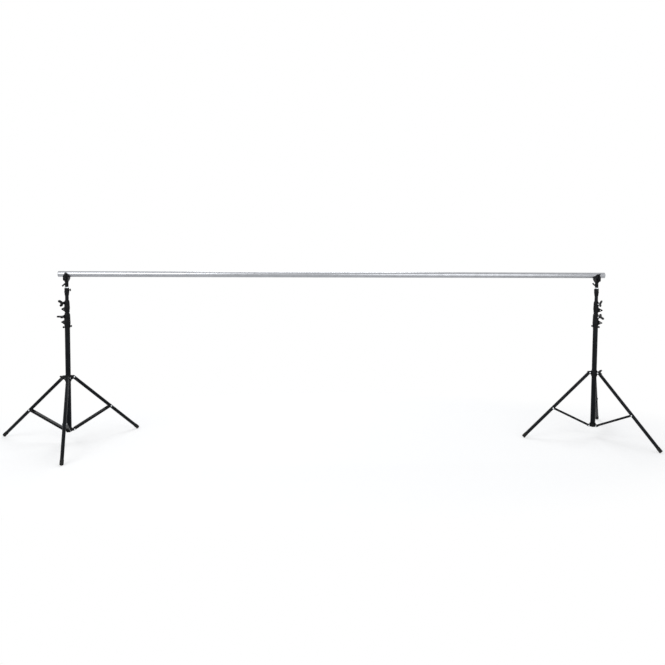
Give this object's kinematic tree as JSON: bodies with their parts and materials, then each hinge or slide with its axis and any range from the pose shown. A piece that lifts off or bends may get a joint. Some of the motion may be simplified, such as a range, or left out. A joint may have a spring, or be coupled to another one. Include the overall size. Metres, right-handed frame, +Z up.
{
  "type": "backdrop stand",
  "caption": "Portable backdrop stand: a round crossbar held in jaw clamps on two telescopic columns with folding braced tripod legs.",
  "frame": {"origin": "centre of the footprint's bounding box, at floor level", "axes": "+X along the crossbar to the right-hand stand, -Y to the front, +Z up"},
  "size_m": [4.3244, 0.955, 1.1355],
  "materials": {
    "bare_aluminium_tube": "drawn bare tube, bright",
    "grey_plastic": "moulded",
    "black_rubber": "matt",
    "black_plastic": "moulded, fine grain",
    "zinc_plated_steel": "bright plated",
    "black_tube": "black anodised, satin",
    "black_brace": "black powder coat",
    "black_steel": "black, satin",
    "black_casting": "black paint on die casting"
  },
  "bodies": {
    "left_base": {"left_base_column": "black_tube", "left_base_collar": "black_casting", "left_collar_screw_1": "black_steel", "left_collar_screw_2": "black_steel", "left_lower_hub": "black_casting"},
    "left_lower_stage": {"left_lower_riser": "black_tube", "left_riser_collar": "black_casting"},
    "left_upper_stage": {"left_upper_riser": "black_tube", "left_riser_head": "black_casting", "left_stud": "zinc_plated_steel"},
    "left_clamp": {"left_clamp_body": "black_casting"},
    "left_front_jaw": {"left_clamp_jaw": "black_casting"},
    "left_jaw_screw": {"left_clamp_screw": "black_steel"},
    "left_socket_lever": {"left_clamp_lock_lever": "black_steel"},
    "left_head_tee": {"left_head_screw": "black_plastic"},
    "left_base_wing": {"left_base_knob": "black_plastic"},
    "left_riser_wing": {"left_riser_knob": "black_plastic"},
    "left_hub": {"left_leg_hub": "black_casting"},
    "left_hub_wing": {"left_hub_knob": "black_plastic"},
    "left_strut_1": {"left_brace_1": "black_brace"},
    "left_limb_1": {"left_leg_1": "black_tube", "left_foot_1": "black_rubber"},
    "left_strut_2": {"left_brace_2": "black_brace"},
    "left_limb_2": {"left_leg_2": "black_tube", "left_foot_2": "black_rubber"},
    "left_strut_3": {"left_brace_3": "black_brace"},
    "left_limb_3": {"left_leg_3": "black_tube", "left_foot_3": "black_rubber"},
    "right_base": {"right_base_column": "black_tube", "right_base_collar": "black_casting", "right_collar_screw_1": "black_steel", "right_collar_screw_2": "black_steel", "right_lower_hub": "black_casting"},
    "right_lower_stage": {"right_lower_riser": "black_tube", "right_riser_collar": "black_casting"},
    "right_upper_stage": {"right_upper_riser": "black_tube", "right_riser_head": "black_casting", "right_stud": "zinc_plated_steel"},
    "right_clamp": {"right_clamp_body": "black_casting"},
    "right_front_jaw": {"right_clamp_jaw": "black_casting"},
    "right_jaw_screw": {"right_clamp_screw": "black_steel"},
    "right_socket_lever": {"right_clamp_lock_lever": "black_steel"},
    "right_head_tee": {"right_head_screw": "black_plastic"},
    "right_base_wing": {"right_base_knob": "black_plastic"},
    "right_riser_wing": {"right_riser_knob": "black_plastic"},
    "right_hub": {"right_leg_hub": "black_casting"},
    "right_hub_wing": {"right_hub_knob": "black_plastic"},
    "right_strut_1": {"right_brace_1": "black_brace"},
    "right_limb_1": {"right_leg_1": "black_tube", "right_foot_1": "black_rubber"},
    "right_strut_2": {"right_brace_2": "black_brace"},
    "right_limb_2": {"right_leg_2": "black_tube", "right_foot_2": "black_rubber"},
    "right_strut_3": {"right_brace_3": "black_brace"},
    "right_limb_3": {"right_leg_3": "black_tube", "right_foot_3": "black_rubber"},
    "bar": {"crossbar": "bare_aluminium_tube", "left_bar_plug": "grey_plastic", "right_bar_plug": "grey_plastic"}
  },
  "joints": [
    {"name": "left_lower_riser_slide", "type": "slide", "parent": "left_base", "child": "left_lower_stage", "axis": [0, 0, 1], "range_m": [0, 0.65]},
    {"name": "left_upper_riser_slide", "type": "slide", "parent": "left_lower_stage", "child": "left_upper_stage", "axis": [0, 0, 1], "range_m": [0, 0.65]},
    {"name": "left_clamp_swivel", "type": "hinge", "parent": "left_upper_stage", "child": "left_clamp", "pos_m": [-1.67366, 0.0273, 1.03246], "axis": [0, 0, 1], "continuous": true},
    {"name": "bar_slide", "type": "slide", "parent": "left_clamp", "child": "bar", "axis": [1, 0, 0], "range_m": [-0.3, 0.025]},
    {"name": "right_clamp_slide", "type": "slide", "parent": "bar", "child": "right_clamp", "axis": [-1, 0, 0], "range_m": [-0.025, 1]},
    {"name": "right_clamp_swivel", "type": "hinge", "parent": "right_clamp", "child": "right_upper_stage", "pos_m": [1.88434, 0.0273, 1.03246], "axis": [0, 0, 1], "continuous": true},
    {"name": "right_upper_riser_slide", "type": "slide", "parent": "right_upper_stage", "child": "right_lower_stage", "axis": [0, 0, -1], "range_m": [0, 0.65]},
    {"name": "right_lower_riser_slide", "type": "slide", "parent": "right_lower_stage", "child": "right_base", "axis": [0, 0, -1], "range_m": [0, 0.65]},
    {"name": "left_jaw_slide", "type": "slide", "parent": "left_clamp", "child": "left_front_jaw", "axis": [0, -1, 0], "range_m": [0, 0.016]},
    {"name": "left_jaw_screw_turn", "type": "hinge", "parent": "left_front_jaw", "child": "left_jaw_screw", "pos_m": [-1.67366, 0, 1.08946], "axis": [0, 1, 0], "range_deg": [0, 1441]},
    {"name": "left_socket_lever_turn", "type": "hinge", "parent": "left_clamp", "child": "left_socket_lever", "pos_m": [-1.67366, 0.0273, 1.04946], "axis": [1, 0, 0], "range_deg": [0, 720]},
    {"name": "left_head_tee_turn", "type": "hinge", "parent": "left_upper_stage", "child": "left_head_tee", "pos_m": [-1.67366, 0.0273, 1.01236], "axis": [1, 0, 0], "range_deg": [0, 720]},
    {"name": "left_base_wing_turn", "type": "hinge", "parent": "left_base", "child": "left_base_wing", "pos_m": [-1.69986, 0.02605, 0.83705], "axis": [-0.4067, -0.9135, 0], "range_deg": [0, 720]},
    {"name": "left_riser_wing_turn", "type": "hinge", "parent": "left_lower_stage", "child": "left_riser_wing", "pos_m": [-1.6969, 0.02473, 0.92669], "axis": [-0.4067, -0.9135, 0], "range_deg": [0, 720]},
    {"name": "left_hub_slide", "type": "slide", "parent": "left_base", "child": "left_hub", "axis": [0, 0, 1], "range_m": [0, 0.2898]},
    {"name": "left_hub_wing_turn", "type": "hinge", "parent": "left_hub", "child": "left_hub_wing", "pos_m": [-1.69504, 0.00845, 0.43539], "axis": [-0.7501, -0.6613, 0], "range_deg": [0, 720]},
    {"name": "left_brace_1_fold", "type": "hinge", "parent": "left_base", "child": "left_strut_1", "pos_m": [-1.70494, 0.03783, 0.08286], "axis": [0.319, 0.9478, 0], "range_deg": [0, 63.58]},
    {"name": "left_leg_1_fold", "type": "hinge", "parent": "left_strut_1", "child": "left_limb_1", "pos_m": [-1.95633, 0.12243, 0.1976], "axis": [-0.319, -0.9478, 0], "range_deg": [0, 109.38]},
    {"name": "left_brace_2_fold", "type": "hinge", "parent": "left_base", "child": "left_strut_2", "pos_m": [-1.66714, -0.00505, 0.08286], "axis": [-0.9803, -0.1977, 0], "range_deg": [0, 63.58]},
    {"name": "left_leg_2_fold", "type": "hinge", "parent": "left_strut_2", "child": "left_limb_2", "pos_m": [-1.61471, -0.26506, 0.1976], "axis": [0.9803, 0.1977, 0], "range_deg": [0, 109.38]},
    {"name": "left_brace_3_fold", "type": "hinge", "parent": "left_base", "child": "left_strut_3", "pos_m": [-1.64891, 0.04913, 0.08286], "axis": [0.6613, -0.7501, 0], "range_deg": [0, 63.58]},
    {"name": "left_leg_3_fold", "type": "hinge", "parent": "left_strut_3", "child": "left_limb_3", "pos_m": [-1.44995, 0.22453, 0.1976], "axis": [-0.6613, 0.7501, 0], "range_deg": [0, 109.38]},
    {"name": "right_jaw_slide", "type": "slide", "parent": "right_clamp", "child": "right_front_jaw", "axis": [0, -1, 0], "range_m": [0, 0.016]},
    {"name": "right_jaw_screw_turn", "type": "hinge", "parent": "right_front_jaw", "child": "right_jaw_screw", "pos_m": [1.88434, 0, 1.08946], "axis": [0, 1, 0], "range_deg": [0, 1441]},
    {"name": "right_socket_lever_turn", "type": "hinge", "parent": "right_clamp", "child": "right_socket_lever", "pos_m": [1.88434, 0.0273, 1.04946], "axis": [1, 0, 0], "range_deg": [0, 720]},
    {"name": "right_head_tee_turn", "type": "hinge", "parent": "right_upper_stage", "child": "right_head_tee", "pos_m": [1.88434, 0.0273, 1.01236], "axis": [-0.1736, 0.9848, 0], "range_deg": [0, 720]},
    {"name": "right_base_wing_turn", "type": "hinge", "parent": "right_base", "child": "right_base_wing", "pos_m": [1.90843, 0.01694, 0.83023], "axis": [0.766, 0.6428, 0], "range_deg": [0, 720]},
    {"name": "right_riser_wing_turn", "type": "hinge", "parent": "right_lower_stage", "child": "right_riser_wing", "pos_m": [1.90731, 0.02296, 0.91987], "axis": [0.6561, 0.7547, 0], "range_deg": [0, 720]},
    {"name": "right_hub_slide", "type": "slide", "parent": "right_base", "child": "right_hub", "axis": [0, 0, 1], "range_m": [0, 0.2733]},
    {"name": "right_hub_wing_turn", "type": "hinge", "parent": "right_hub", "child": "right_hub_wing", "pos_m": [1.91281, 0.02855, 0.44502], "axis": [0.999, 0.0436, 0], "range_deg": [0, 720]},
    {"name": "right_brace_1_fold", "type": "hinge", "parent": "right_base", "child": "right_strut_1", "pos_m": [1.90207, -0.00053, 0.07604], "axis": [-0.8434, -0.5373, 0], "range_deg": [0, 61.18]},
    {"name": "right_leg_1_fold", "type": "hinge", "parent": "right_strut_1", "child": "right_limb_1", "pos_m": [2.04188, -0.21999, 0.20179], "axis": [0.8434, 0.5373, 0], "range_deg": [0, 105.78]},
    {"name": "right_brace_2_fold", "type": "hinge", "parent": "right_base", "child": "right_strut_2", "pos_m": [1.89957, 0.05657, 0.07604], "axis": [0.887, -0.4617, 0], "range_deg": [0, 61.18]},
    {"name": "right_leg_2_fold", "type": "hinge", "parent": "right_strut_2", "child": "right_limb_2", "pos_m": [2.01972, 0.28738, 0.20179], "axis": [-0.887, 0.4617, 0], "range_deg": [0, 105.78]},
    {"name": "right_brace_3_fold", "type": "hinge", "parent": "right_base", "child": "right_strut_3", "pos_m": [1.85137, 0.02586, 0.07604], "axis": [-0.0436, 0.999, 0], "range_deg": [0, 61.18]},
    {"name": "right_leg_3_fold", "type": "hinge", "parent": "right_strut_3", "child": "right_limb_3", "pos_m": [1.59141, 0.01451, 0.20179], "axis": [0.0436, -0.999, 0], "range_deg": [0, 105.78]}
  ],
  "couplings": [
    {"joint": "right_upper_riser_slide", "follows": "left_upper_riser_slide", "ratio": 1},
    {"joint": "right_lower_riser_slide", "follows": "left_lower_riser_slide", "ratio": 1},
    {"joint": "left_jaw_screw_turn", "follows": "left_jaw_slide", "rad_per_m": 1570.8},
    {"joint": "left_brace_1_fold", "follows": "left_hub_slide", "rad_per_m": 3.828},
    {"joint": "left_leg_1_fold", "follows": "left_hub_slide", "rad_per_m": 6.5863},
    {"joint": "left_brace_2_fold", "follows": "left_hub_slide", "rad_per_m": 3.828},
    {"joint": "left_leg_2_fold", "follows": "left_hub_slide", "rad_per_m": 6.5863},
    {"joint": "left_brace_3_fold", "follows": "left_hub_slide", "rad_per_m": 3.828},
    {"joint": "left_leg_3_fold", "follows": "left_hub_slide", "rad_per_m": 6.5863},
    {"joint": "right_jaw_screw_turn", "follows": "right_jaw_slide", "rad_per_m": 1570.8},
    {"joint": "right_brace_1_fold", "follows": "right_hub_slide", "rad_per_m": 3.9059},
    {"joint": "right_leg_1_fold", "follows": "right_hub_slide", "rad_per_m": 6.7541},
    {"joint": "right_brace_2_fold", "follows": "right_hub_slide", "rad_per_m": 3.9059},
    {"joint": "right_leg_2_fold", "follows": "right_hub_slide", "rad_per_m": 6.7541},
    {"joint": "right_brace_3_fold", "follows": "right_hub_slide", "rad_per_m": 3.9059},
    {"joint": "right_leg_3_fold", "follows": "right_hub_slide", "rad_per_m": 6.7541}
  ]
}
